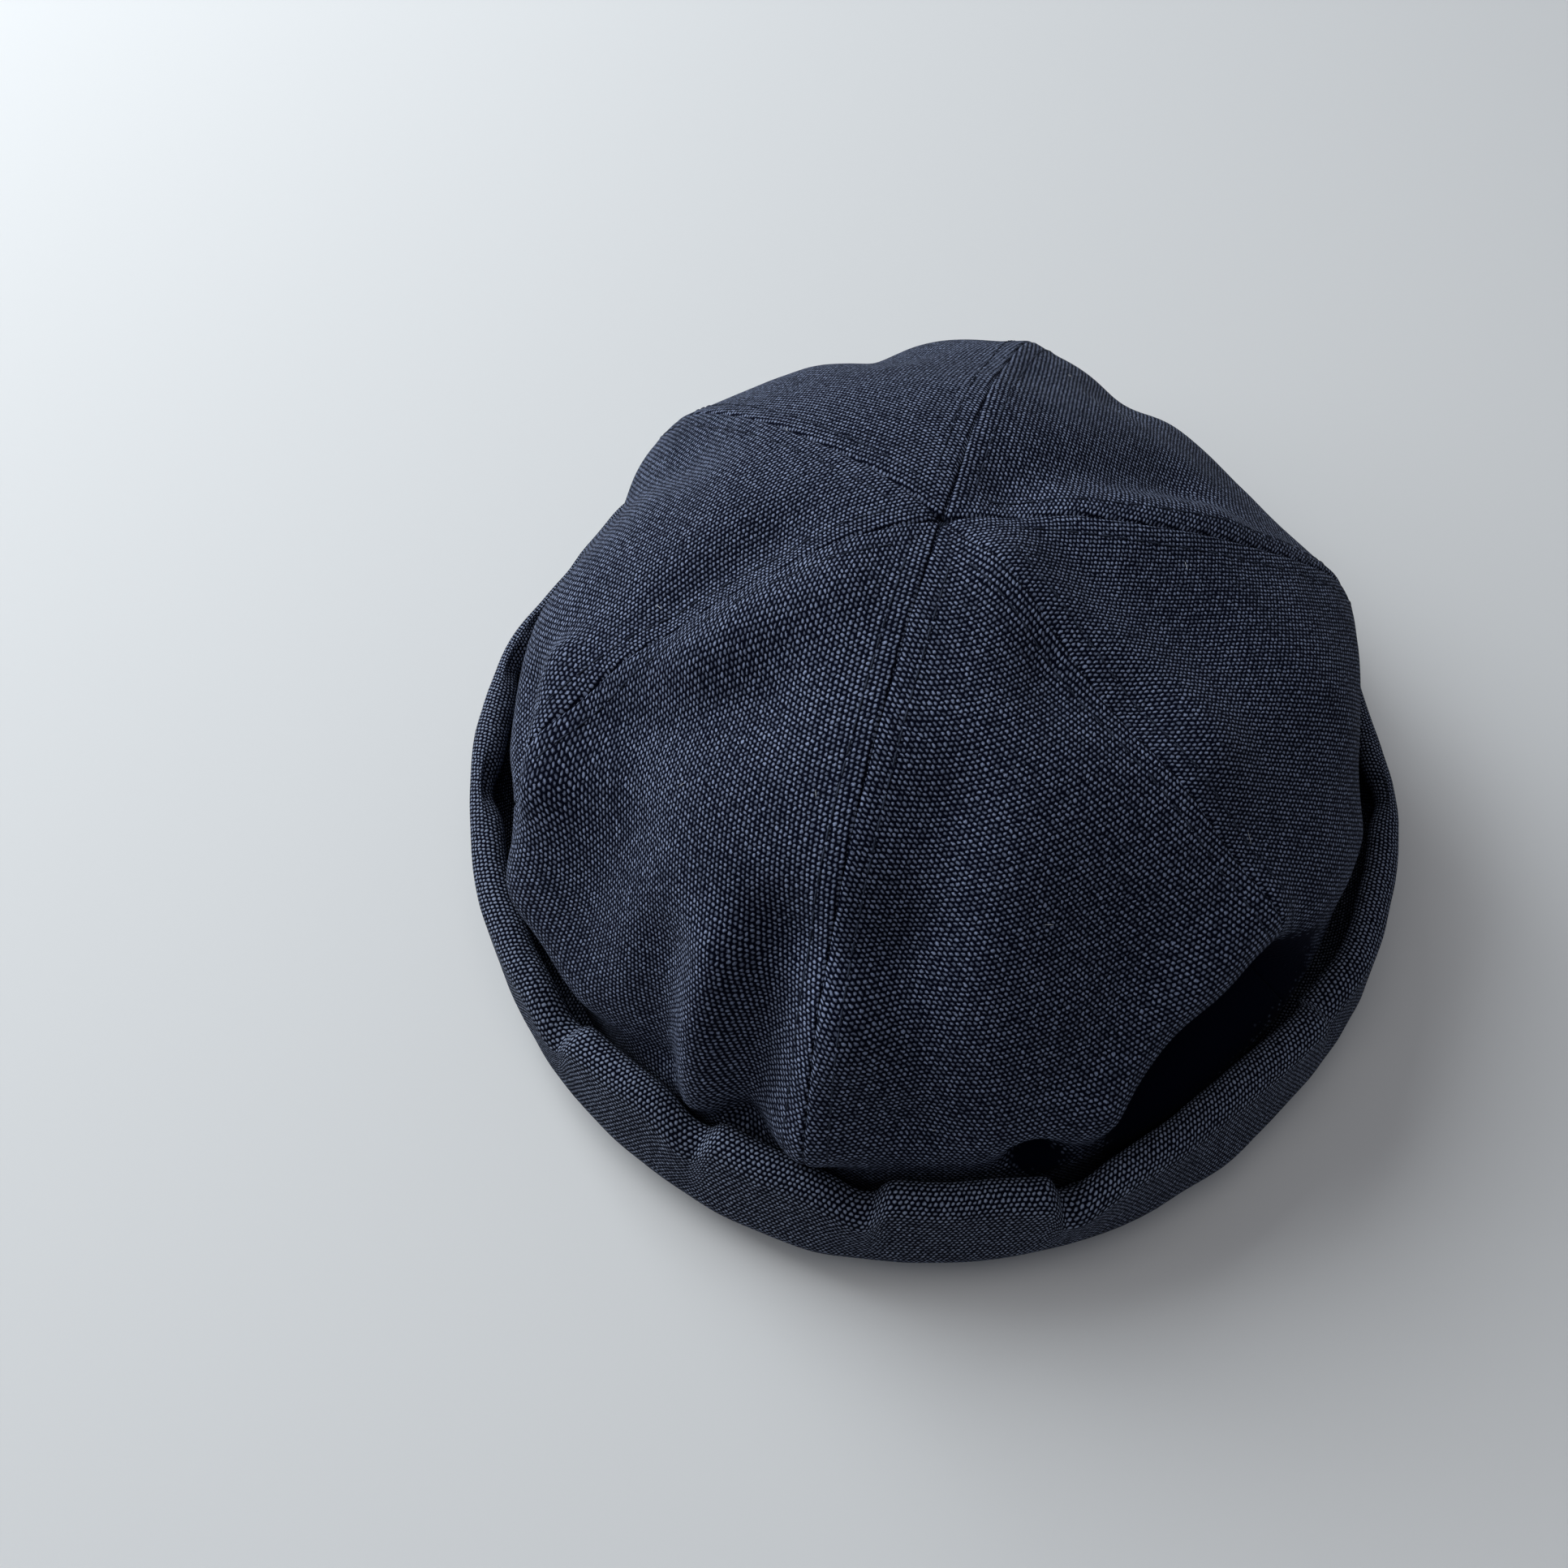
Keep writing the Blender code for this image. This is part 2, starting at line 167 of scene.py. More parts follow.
def oval_radius(azimuth):
    """Distance from the middle of the hem's oval to its edge."""
    return 1 / np.hypot(np.cos(azimuth) / HEM_HALF_WIDTH, np.sin(azimuth) / HEM_HALF_LENGTH)


def hem_radius(azimuth):
    """Distance from the middle to the crown's outer face at its hem."""
    return oval_radius(azimuth) * around_plan(azimuth, PLAN_HEM)


def plan_centre():
    """The middle of the box round the cuff, which is the frame's origin."""
    azimuth = np.arange(72) * math.tau / 72
    radius = hem_radius(azimuth) + CUFF_REACH * around_plan(azimuth, PLAN_CUFF)
    across, along = radius * np.cos(azimuth), radius * np.sin(azimuth)
    return np.array([(across.min() + across.max()) / 2, (along.min() + along.max()) / 2, 0.0])


CENTRE = plan_centre()
print("middle of the plan in mm:", np.round(CENTRE / MM, 2))

# %% [markdown]
# Folds decide whether cloth looks like cloth. Each fold here is a line on the crown spread flat,
# from one place to another, with a width and a rise. A positive rise is a ridge and a negative
# one a valley, and where two cross, the cloth adds them up by itself.

# %% Folds of the crown
FOLD_WIDTH = 10 * MM
FOLD_RISE = 3 * MM
# from azimuth, from down, to azimuth, to down, width, rise
FOLDS = (
    (222, 0.52, 240, 0.32, 0.9, -1.4),
    (222, 0.36, 233, 0.17, 0.7, 0.8),
    (207, 0.54, 224, 0.60, 0.5, 1.0),
    (205, 0.63, 221, 0.68, 0.5, -0.8),
    (208, 0.37, 198, 0.24, 0.8, -1.2),
    (222, 0.56, 228, 0.74, 0.8, 1.2),
    (220, 0.60, 235, 0.72, 1.6, 1.2),
    (236, 0.54, 238, 0.70, 0.9, -1.0),
    (250, 0.62, 252, 0.80, 0.7, -1.1),
    (257, 0.58, 257, 0.82, 0.7, 1.4),
    (264, 0.52, 262, 0.84, 0.75, -2.0),
    (276, 0.62, 279, 0.66, 0.6, 0.7),
    (272, 0.58, 270, 0.78, 0.7, 1.0),
    (286, 0.36, 280, 0.50, 0.8, -1.0),
    (280, 0.50, 281, 0.72, 0.8, -1.2),
    (308, 0.54, 310, 0.68, 1.2, -1.0),
    (302, 0.75, 330, 0.63, 0.7, 1.0),
    (308, 0.84, 329, 0.77, 0.85, -3.3),
    (322, 0.26, 334, 0.34, 0.9, -1.3),
    (340, 0.12, 341, 0.44, 0.7, 0.8),
    (355, 0.24, 360, 0.36, 1.2, -1.0),
    (48, 0.12, 44, 0.42, 0.9, -1.2),
    (36, 0.20, 34, 0.42, 0.7, 0.7),
    (293, 0.82, 295, 0.86, 0.5, -1.9),
    (5, 0.60, 24, 0.70, 1.7, 1.1),
    (72, 0.54, 76, 0.78, 0.9, -1.0),
    (112, 0.50, 118, 0.76, 1.0, -1.0),
    (164, 0.46, 168, 0.74, 0.9, -0.9),
    (176, 0.58, 184, 0.66, 1.0, -0.6),
    (192, 0.64, 208, 0.73, 1.7, 1.2),
    (206, 0.72, 214, 0.80, 1.2, -0.3),
    (222, 0.76, 240, 0.79, 1.0, 1.0),
    (264, 0.80, 300, 0.79, 1.0, 0.7),
    (338, 0.70, 354, 0.80, 1.1, 1.0),
    (90, 0.42, 90, 0.76, 1.6, -0.9),
)


def spread(azimuth, down):
    """The place of a point when the crown is spread flat around its top."""
    distance = down * CROWN_MERIDIAN
    return distance * np.cos(azimuth), distance * np.sin(azimuth)


def fold_rise(azimuth, down, folds):
    """How far a table of folds lifts the cloth, or presses it in."""
    x, y = spread(azimuth, down)
    total = np.zeros_like(x)
    for from_azimuth, from_down, to_azimuth, to_down, width, rise in folds:
        start_x, start_y = spread(math.radians(from_azimuth), from_down)
        end_x, end_y = spread(math.radians(to_azimuth), to_down)
        line_x, line_y = end_x - start_x, end_y - start_y
        along = ((x - start_x) * line_x + (y - start_y) * line_y) / (line_x**2 + line_y**2)
        along = np.clip(along, 0.0, 1.0)
        distance = np.hypot(x - start_x - line_x * along, y - start_y - line_y * along)
        total += rise * FOLD_RISE * np.exp(-((distance / (width * FOLD_WIDTH)) ** 2))
    return total


print("folds:", len(FOLDS))

# %% [markdown]
# Where a slack crown is pushed down, a seam no longer runs straight to the hem: the cloth slides
# round a little, and the seam with it. Each drift turns the cloth near one seam, and dies away
# to both sides of it.

# %% Drift of the cloth
DRIFT_DOWN = (0.00, 0.25, 0.40, 0.50, 0.58, 0.66, 0.76, 0.88, 1.00)
# azimuth, width, and the drift in degrees at each of those places down the cloth
DRIFTS = (
    (210, 32, (0, 0, 2, 5, 9, 10, 6, 2, 0)),
    (30, 25, (0, -5, -4, -3, -2, -1, 0, 0, 0)),
)


def drift(azimuth, down):
    """How far the cloth has slid round, in radians."""
    total = np.zeros_like(azimuth)
    for at, width, column in DRIFTS:
        off = ((np.degrees(azimuth) - at + 180) % 360 - 180) / width
        total += np.radians(smooth_curve(DRIFT_DOWN, column, down)) * np.exp(-(off**2))
    return total


print("drift of the left seam in degrees:", np.degrees(drift(np.radians([210.0]), np.array([0.62]))))

# %% [markdown]
# Between its seams a slack panel pulls nearly flat, and a full one stays round. That is the
# difference between a stiff dome and six sewn gores.

# %% The crown's surface
PANEL_SLACK = (0.25, 0.15, 1.10, 0.75, 0.15, 0.20)
SLOPE_STEP = 0.004


def slackness(azimuth):
    """How slack the cloth hangs: its panel's slack, and none at the seams."""
    turn = ((azimuth - FIRST_SEAM) % math.tau) / PANEL_SPAN
    slack = np.array(PANEL_SLACK)[turn.astype(int) % PANEL_COUNT]
    off_middle = (turn % 1.0 - 0.5) * PANEL_SPAN
    return slack * (1 - math.cos(PANEL_SPAN / 2) / np.cos(off_middle))


def dome_point(azimuth, down):
    """Points on the crown's outer face before its folds are pressed in."""
    height = dome_height(down)
    pull = 1 - along_rings(down, RING_FLATNESS) * slackness(azimuth)
    free = freedom(height)
    reach = 1 - (1 - along_rings(down, RING_REACH) * pull) * free
    from_plan = smooth_step(CROWN_HEIGHT * PLAN_SHARE, BAND_TOP * UPRIGHT_SHARE, height)
    pushed_in = 1 - (1 - around_plan(azimuth, PLAN_HEM)) * from_plan
    radius = oval_radius(azimuth) * pushed_in * reach
    return np.stack((
        radius * np.cos(azimuth) + CROWN_LEAN[0] * along_rings(down, RING_LEAN_X) * free,
        radius * np.sin(azimuth) + CROWN_LEAN[1] * along_rings(down, RING_LEAN_Y) * free,
        height,
    ), axis=-1)


def outward(azimuth, down):
    """The direction out of the cloth, even across a seam."""
    above, below = np.maximum(down - SLOPE_STEP, SLOPE_STEP), np.minimum(down + SLOPE_STEP, 1.0)
    rise = (along_rings(below, RING_REACH) - along_rings(above, RING_REACH)) * HEM_HALF_WIDTH
    steepness = dome_height(above) - dome_height(below)
    level = np.stack((np.cos(azimuth) / HEM_HALF_WIDTH**2, np.sin(azimuth) / HEM_HALF_LENGTH**2), axis=-1)
    level /= np.linalg.norm(level, axis=-1, keepdims=True)
    way = np.concatenate((level * steepness[..., None], rise[..., None]), axis=-1)
    return way / np.linalg.norm(way, axis=-1, keepdims=True)


middle = dome_point(np.array([FIRST_SEAM]), np.array([0.5]))
print("a point half way down the front seam in mm:", np.round(middle / MM, 1))

# %% [markdown]
# Distances along the cloth matter as much as places in space: stitches sit a fixed way from a
# seam, and the weave has the same pitch everywhere. So the length down the cloth is measured
# once, along one meridian, and read back from that list.

# %% Distances along the cloth
RULER_DOWN = np.linspace(0.0, 1.0, 400)
LEAST_REACH = 0.004
ruler_reach = along_rings(RULER_DOWN, RING_REACH) * (HEM_HALF_WIDTH + HEM_HALF_LENGTH) / 2
ruler_steps = np.hypot(np.diff(ruler_reach), np.diff(dome_height(RULER_DOWN)))
RULER_LENGTH = np.concatenate(([0.0], np.cumsum(ruler_steps)))


def cloth_length(down):
    """How far down the cloth a place is, in metres."""
    return np.interp(down, RULER_DOWN, RULER_LENGTH)


def ring_radius(azimuth, down):
    """The radius of the crown's ring, for turning angles into widths of cloth."""
    return np.maximum(along_rings(down, RING_REACH), LEAST_REACH) * oval_radius(azimuth)


print("cloth from the top to the hem in mm:", round(RULER_LENGTH[-1] / MM, 1))

# %% [markdown]
# At a seam the two edges are turned in and stitched down on both sides. That makes a narrow
# groove, a flat raised strip where the seam allowance lies underneath, and a row of small
# puckers where the thread draws the cloth in. All three are a few tenths of a millimetre high,
# and they are real geometry here because they catch the light along every seam. Soft noise adds
# the unevenness of cloth that has been worn.

# %% Seams and small wrinkles
GROOVE_DEPTH = 0.40 * MM
GROOVE_WIDTH = 0.40 * MM
ALLOWANCE_WIDTH = 4.9 * MM
ALLOWANCE_RISE = 0.16 * MM
STITCH_OFFSET = 4.0 * MM
STITCH_PITCH = 3.4 * MM
STITCH_SINK = 0.16 * MM
STITCH_SINK_WIDTH = 0.9 * MM
PUCKER_RISE = 0.20 * MM
PUCKER_WIDTH = 4.5 * MM
PUCKERS_PER_METRE = 160
WRINKLE_RISE = 0.55 * MM
# how many to the metre, and share of the rise
WIDE_WRINKLES = (38, 0.75)
NARROW_WRINKLES = (105, 0.35)
PIT_DEPTH = 1.2 * MM
PIT_HALF_LENGTH = 1.9 * MM
PIT_HALF_WIDTH = 0.9 * MM


def noise_at(x, y, z):
    """Smooth noise, from -1 to 1, at arrays of places."""
    return np.array([noise.noise(Vector(place)) for place in zip(x, y, z)])


def seam_relief(azimuth, down):
    """How far the seams' grooves, allowances and puckers move the cloth out."""
    turn = ((azimuth - FIRST_SEAM) % math.tau) / PANEL_SPAN
    to_seam = (0.5 - np.abs(turn % 1.0 - 0.5)) * PANEL_SPAN * ring_radius(azimuth, down)
    length = cloth_length(down)
    side = np.round(turn)
    # the odd factors give each side of each seam a stretch of noise of its own
    wander = noise_at(length * PUCKERS_PER_METRE, side * 7.3, (turn % 1.0 > 0.5) * 5.1)
    groove = -GROOVE_DEPTH * np.exp(-((to_seam / GROOVE_WIDTH) ** 2))
    strip = ALLOWANCE_RISE * smooth_step(ALLOWANCE_WIDTH + 1.2 * MM, ALLOWANCE_WIDTH - 0.6 * MM, to_seam)
    phase = length / STITCH_PITCH * math.tau
    row = np.exp(-(((to_seam - STITCH_OFFSET) / STITCH_SINK_WIDTH) ** 2))
    sink = -STITCH_SINK * row * (0.75 + 0.25 * np.cos(phase))
    across = np.exp(-(((to_seam - STITCH_OFFSET) / PUCKER_WIDTH) ** 2))
    pucker = PUCKER_RISE * across * wander
    return groove + strip + sink + pucker


def top_pit(azimuth, down):
    """The small pit where all six seams are drawn together and tacked."""
    x, y = spread(azimuth, down)
    return -PIT_DEPTH * np.exp(-((x / PIT_HALF_LENGTH) ** 2) - (y / PIT_HALF_WIDTH) ** 2)


def wrinkles(azimuth, down):
    """Small soft unevenness of the whole crown."""
    x, y = spread(azimuth, down)
    (wide, wide_share), (narrow, narrow_share) = WIDE_WRINKLES, NARROW_WRINKLES
    wide_noise = noise_at(x * wide, y * wide, x * 0 + 2.0)
    narrow_noise = noise_at(x * narrow, y * narrow, x * 0 + 9.0)
    return WRINKLE_RISE * (wide_share * wide_noise + narrow_share * narrow_noise)


def crown_point(azimuth, down, depth):
    """Points of the crown's wall: depth 0 on its outer face, 1 on its inner face."""
    lies = azimuth + drift(azimuth, down)
    point = dome_point(lies, down)
    free = freedom(point[..., 2])
    lift = (fold_rise(lies, down, FOLDS) + wrinkles(lies, down)) * free
    lift = lift + (seam_relief(azimuth, down) + top_pit(azimuth, down)) * (0.3 + 0.7 * free)
    return point + outward(lies, down) * (lift - depth * CROWN_CLOTH)[..., None] - CENTRE


print("stitch rows lie", round(STITCH_OFFSET / MM, 1), "mm from each seam")

# %% [markdown]
# Shader maths reads best as plain expressions. This small class wraps a socket, so that a sum
# of two sockets adds its own Math node. Any other node comes from one method.

# %% A small class for shader maths
class Wire:
    """An output socket that can be added, multiplied and so on."""

    def __init__(self, finish, socket):
        self.finish = finish
        self.socket = socket

    def math(self, operation, *others):
        values = dict(enumerate((self, *others)))
        return self.finish.node("ShaderNodeMath", {"operation": operation}, values)

    def __add__(self, other):
        return self.math("ADD", other)

    def __radd__(self, other):
        return self.math("ADD", other)

    def __sub__(self, other):
        return self.math("SUBTRACT", other)

    def __rsub__(self, other):
        return self.finish.node("ShaderNodeMath", {"operation": "SUBTRACT"}, {0: other, 1: self})

    def __mul__(self, other):
        return self.math("MULTIPLY", other)

    def __rmul__(self, other):
        return self.math("MULTIPLY", other)

    def __pow__(self, other):
        return self.math("POWER", other)


class Finish:
    """A material, its main shader and the nodes that feed it."""

    def __init__(self, name):
        self.material = bpy.data.materials.new(name)
        self.material.use_nodes = True
        self.tree = self.material.node_tree
        self.shader = self.tree.nodes["Principled BSDF"]

    def node(self, kind, settings, values, output=0):
        """Adds a node: its settings first, then the values or wires of its sockets."""
        node = self.tree.nodes.new(kind)
        for name, setting in settings.items():
            setattr(node, name, setting)
        for name, value in values.items():
            self.set(node.inputs[name], value)
        return Wire(self, node.outputs[output])

    def set(self, socket, value):
        """Gives a socket a value, or links a wire to it."""
        if isinstance(value, Wire):
            self.tree.links.new(value.socket, socket)
        else:
            socket.default_value = value

    def mix(self, factor, first, second):
        """A colour between two colours."""
        sockets = {"Factor": factor, 6: first, 7: second}
        return self.node("ShaderNodeMix", {"data_type": "RGBA"}, sockets, 2)


print("shader helpers ready")

# %% [markdown]
# The canvas is a plain weave of thick navy yarn. What the eye sees is a lattice of pale, seed
# shaped floats over dark gaps, turned a little by the twist of the yarn. Only one set of floats
# is drawn pale: the near-black gap colour is painted shade, between the yarns and over the other
# set of floats, which lie in shade. The pattern is drawn
# on the UV map, which holds the flat cloth in metres, so the weave runs straight down the
# middle of every panel and meets its neighbour at an angle along the seam. Noise pushes each
# float a little out of its row, and breaks it up into fibres, because a perfect lattice looks
# like a printed pattern. The piece itself carries one attribute for wear and painted shade: it is
# high on edges that wear pale, and low in the pockets and the pit at the top, where it darkens
# the cloth with painted shade because no light comes there.

# %% Canvas
YARN_ACROSS = 0.53 * MM
YARN_ALONG = 0.88 * MM
# half the size of a float, in yarns, and how far it may be pushed out of its row
FLOAT_HALF_ACROSS = 0.76
FLOAT_HALF_ALONG = 0.43
SLUB_ACROSS = 1.5
SLUB_ALONG = 1.1
# how many to the metre
SLUBS = 900
FIBRES = 3400
PATCHES = 45
WEAVE_RISE = 0.25 * MM
SHEEN_COLOUR = (0.62, 0.68, 0.85, 1.0)
CLOTH_MAP = "cut"


def canvas(name, shaded_gap, thread, sheen, slant, closeness):
    """Navy canvas: gaps in painted shade, pale slanting floats and a faint sheen. Closeness packs the
    yarns.
    """
    finish = Finish(name)
    cut = finish.node("ShaderNodeUVMap", {"uv_map": CLOTH_MAP}, {})
    slub = finish.node("ShaderNodeTexNoise", {}, {"Vector": cut, "Scale": SLUBS, "Detail": 3}, "Color")
    u = finish.node("ShaderNodeSeparateXYZ", {}, {0: cut}, "X")
    v = finish.node("ShaderNodeSeparateXYZ", {}, {0: cut}, "Y")
    slub_u = finish.node("ShaderNodeSeparateXYZ", {}, {0: slub}, "X")
    slub_v = finish.node("ShaderNodeSeparateXYZ", {}, {0: slub}, "Y")
    x = u * (closeness / YARN_ACROSS) + (slub_u - 0.5) * SLUB_ACROSS
    y = v * (closeness / YARN_ALONG) + (slub_v - 0.5) * SLUB_ALONG
    # two diagonal counts set the floats out like bricks in a wall, one to each pair of whole numbers
    first = (x + y) * 0.5
    second = (x - y) * 0.5
    first_float = first.math("ROUND")
    second_float = second.math("ROUND")
    first_off = first - first_float
    second_off = second - second_float
    along = first_off - second_off
    across = first_off + second_off - along * slant
    which = finish.node("ShaderNodeCombineXYZ", {}, {"X": first_float, "Y": second_float})
    luck = finish.node("ShaderNodeTexWhiteNoise", {"noise_dimensions": "2D"}, {"Vector": which}, "Value")
    off = (across * (1 / FLOAT_HALF_ACROSS)) ** 2 + (along * (1 / FLOAT_HALF_ALONG)) ** 2
    seed = (1 - off).math("MAXIMUM", 0.0)
    fibre = finish.node("ShaderNodeTexNoise", {}, {"Vector": cut, "Scale": FIBRES, "Detail": 3}, "Fac")
    patches = finish.node("ShaderNodeTexNoise", {}, {"Vector": cut, "Scale": PATCHES, "Detail": 3}, "Fac")
    wear_and_shade = finish.node("ShaderNodeAttribute", {"attribute_name": "wear_and_shade"}, {}, "Fac")
    # a float's shine is its own luck, the patch that it lies in and how worn the place is, and it
    # is darkened by painted shade in the pockets and the pit at the top
    shine = (luck ** 1.3 * 0.75 + 0.5 + (patches - 0.5) * 0.6 + wear_and_shade * 0.5).math("MAXIMUM", 0.0)
    pale = (seed ** 1.2 * shine * (fibre * 2.2 - 0.1)).math("MINIMUM", 1.0)
    # the near-black gap colour is painted shade, between the yarns and over the other set of floats
    colour = finish.mix(pale, shaded_gap, thread)
    height = seed * (luck * 0.5 + 0.6) + fibre * 0.6
    bump = finish.node("ShaderNodeBump", {}, {"Strength": 0.55, "Distance": WEAVE_RISE, "Height": height})
    finish.set(finish.shader.inputs["Base Color"], colour)
    finish.set(finish.shader.inputs["Roughness"], 0.95 - pale * 0.1)
    finish.set(finish.shader.inputs["Normal"], bump)
    finish.shader.inputs["Specular IOR Level"].default_value = 0.06
    finish.shader.inputs["Sheen Weight"].default_value = sheen
    finish.shader.inputs["Sheen Roughness"].default_value = 0.55
    finish.shader.inputs["Sheen Tint"].default_value = SHEEN_COLOUR
    return finish.material


crown_canvas = canvas(
    "crown_canvas", shaded_gap=(0.0008, 0.0016, 0.0075, 1), thread=(0.242, 0.282, 0.402, 1),
    sheen=0.015, slant=0.45, closeness=1.06,
)
cuff_canvas = canvas(
    "cuff_canvas", shaded_gap=(0.0008, 0.0014, 0.0060, 1), thread=(0.235, 0.270, 0.366, 1),
    sheen=0.01, slant=0.40, closeness=1.3,
)
print("canvas nodes:", len(crown_canvas.node_tree.nodes))

# %% [markdown]
# A panel starts as a flat grid. Extruding it gives the wall its thickness, and then every
# vertex is moved to its place on the crown: its X says how far across the panel it lies, its Y
# how far down and its Z how deep in the cloth. The columns are drawn together towards the
# edges, where the seams need them. The cloth is rubbed pale along the seam and over the edge of
# its allowance, and painted shade darkens it in the two deep pockets over the roll and in the
# pit at the top.

# %% Crown panels
HEM_LINE = math.pi * (HEM_HALF_WIDTH + HEM_HALF_LENGTH)
GORE_AREA_SHARE = 0.66
# from azimuth, from down, to azimuth, to down, width, depth of the painted shade
DEEP_POCKETS = (
    (306, 0.88, 332, 0.80, 0.9, 1.0),
    (293, 0.85, 295, 0.87, 0.35, 0.8),
)
PANEL_ACROSS = 96
PANEL_DOWN = 180
EDGE_CROWDING = 0.78
TIP_DOWN = 0.0035
EDGE_INSET = 0.06 * MM
# how far apart the panels lie on the flat map, so that no two have the same piece of weave
CUT_SHIFT = 0.2
# distance from the seam, width, amount
SEAM_RUBS = (
    (1.1 * MM, 0.7 * MM, 0.25),
    (ALLOWANCE_WIDTH, 0.6 * MM, 0.15),
)
# how strongly painted shade darkens the pockets and the pit at the top
POCKET_SHADE = 4.0
PIT_SHADE = 1.5


def finish_piece(bm, name, material):
    """Turns a bmesh into a smooth object at the origin."""
    mesh = bpy.data.meshes.new(name)
    bm.to_mesh(mesh)
    bm.free()
    mesh.shade_smooth()
    mesh.materials.append(material)
    piece = bpy.data.objects.new(name, mesh)
    bpy.context.scene.collection.objects.link(piece)
    return piece


def read_places(mesh):
    """A mesh's vertices as an array."""
    places = np.zeros(len(mesh.vertices) * 3, np.float32)
    mesh.vertices.foreach_get("co", places)
    return places.reshape(-1, 3).astype(float)


def write_cloth(mesh, places, cut, wear_and_shade):
    """Moves a mesh's vertices and gives it the flat cloth's map, its worn edges and painted shade."""
    mesh.vertices.foreach_set("co", places.astype(np.float32).ravel())
    layer = mesh.uv_layers.new(name=CLOTH_MAP)
    layer.data.foreach_set("uv", cut.astype(np.float32).ravel())
    worn = mesh.attributes.new("wear_and_shade", "FLOAT", "POINT")
    worn.data.foreach_set("value", wear_and_shade.astype(np.float32))
    mesh.update()


def corner_verts(mesh):
    """The vertex of each face corner."""
    corners = np.zeros(len(mesh.loops), np.int32)
    mesh.loops.foreach_get("vertex_index", corners)
    return corners


def pocket_depth(azimuth, down):
    """How deep in a pocket a place lies, from 0 to about 1."""
    return fold_rise(azimuth, down, DEEP_POCKETS) / FOLD_RISE


def panel_wear_and_shade(azimuth, down, to_edge):
    """Wear and painted shade of a panel: pale beside its seams, dark in the pockets and the top pit."""
    wear_and_shade = -POCKET_SHADE * pocket_depth(azimuth, down) + PIT_SHADE * top_pit(azimuth, down) / PIT_DEPTH
    for distance, width, amount in SEAM_RUBS:
        wear_and_shade = wear_and_shade + amount * np.exp(-(((to_edge - distance) / width) ** 2))
    return wear_and_shade


def make_panel(number):
    """One gore of canvas, from the top to the hem."""
    bm = bmesh.new()
    bmesh.ops.create_grid(bm, x_segments=PANEL_ACROSS, y_segments=PANEL_DOWN, size=0.5)
    inner = bmesh.ops.extrude_face_region(bm, geom=bm.faces[:], use_keep_orig=True)
    inner_verts = [item for item in inner["geom"] if isinstance(item, bmesh.types.BMVert)]
    bmesh.ops.translate(bm, verts=inner_verts, vec=(0, 0, -1))
    bmesh.ops.recalc_face_normals(bm, faces=bm.faces[:])
    piece = finish_piece(bm, f"crown_gore_{number + 1}", crown_canvas)
    x, y, z = read_places(piece.data).T
    across = x + 0.5
    across = across - EDGE_CROWDING * np.sin(math.tau * across) / math.tau
    down = TIP_DOWN + (1 - TIP_DOWN) * (0.5 - y)
    radius = ring_radius(x * 0 + FIRST_SEAM, down)
    inset = np.minimum(EDGE_INSET / radius, 0.1)
    off_middle = (PANEL_SPAN / 2 - inset) * (2 * across - 1)
    azimuth = FIRST_SEAM + (number + 0.5) * PANEL_SPAN + off_middle
    places = crown_point(azimuth, down, -z)
    to_edge = (PANEL_SPAN / 2 - np.abs(off_middle)) * ring_radius(azimuth, down)
    sideways = off_middle * ring_radius(azimuth, down) + number * CUT_SHIFT
    cut = np.stack((sideways, cloth_length(down)), axis=-1)[corner_verts(piece.data)]
    write_cloth(piece.data, places, cut, panel_wear_and_shade(azimuth, down, to_edge))
    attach(piece, "root")
    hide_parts(f"crown_panel_{number + 1}")
    wide, long = HEM_LINE / PANEL_COUNT, cloth_length(1.0)
    wide * long * GORE_AREA_SHARE
    return piece


gores = [make_panel(number) for number in range(PANEL_COUNT)]
print("faces in a gore:", len(gores[0].data.polygons))

# %% [markdown]
# The cuff is one straight strip, folded double, sewn round the hem and turned up outside it.
# Its top edge rolls over. It is a section spun into a ring, and then drawn out to the head's
# oval. The section is worked out from a few arcs: the band inside, the heel on the table, the
# belly outside and the roll at the top.

# %% The cuff's section
ROLL_RADIUS = 2.6 * MM
ROLL_TURN = 215
FLOOR_WIDTH = 3.0 * MM
BELLY_SHARE = 0.45


def arc(centre_x, centre_z, radius_x, radius_z, start, end, steps):
    """Points along an arc in the section's plane, its angles in degrees."""
    angles = [math.radians(start + (end - start) * i / steps) for i in range(steps + 1)]
    return [
        Vector((centre_x + radius_x * math.cos(a), centre_z + radius_z * math.sin(a))) for a in angles
    ]


def cuff_path():
    """The middle line of the cuff's cloth: distance out from the hem, and height."""
    half = CUFF_CLOTH / 2
    inside = -(CROWN_CLOTH + SEAM_GAP + half)
    outside = CUFF_REACH - half
    heel_end = inside + HEEL_RADIUS + FLOOR_WIDTH
    belly = CUFF_HEIGHT * BELLY_SHARE
    roll_centre = outside - ROLL_RADIUS
    roll_height = CUFF_HEIGHT - half - ROLL_RADIUS
    heel_height = half + HEEL_RADIUS
    rise = BAND_TOP - heel_height
    points = [Vector((inside, BAND_TOP - rise * i / 6)) for i in range(6)]
    points += arc(inside + HEEL_RADIUS, heel_height, HEEL_RADIUS, HEEL_RADIUS, 180, 270, 5)
    points += arc(heel_end, belly, outside - heel_end, belly - half, 270, 360, 12)
    points += arc(outside - ROLL_RADIUS, roll_height, ROLL_RADIUS, ROLL_RADIUS, 0, ROLL_TURN, 16)
    return [p for i, p in enumerate(points) if i == 0 or (p - points[i - 1]).length > 0.05 * MM]


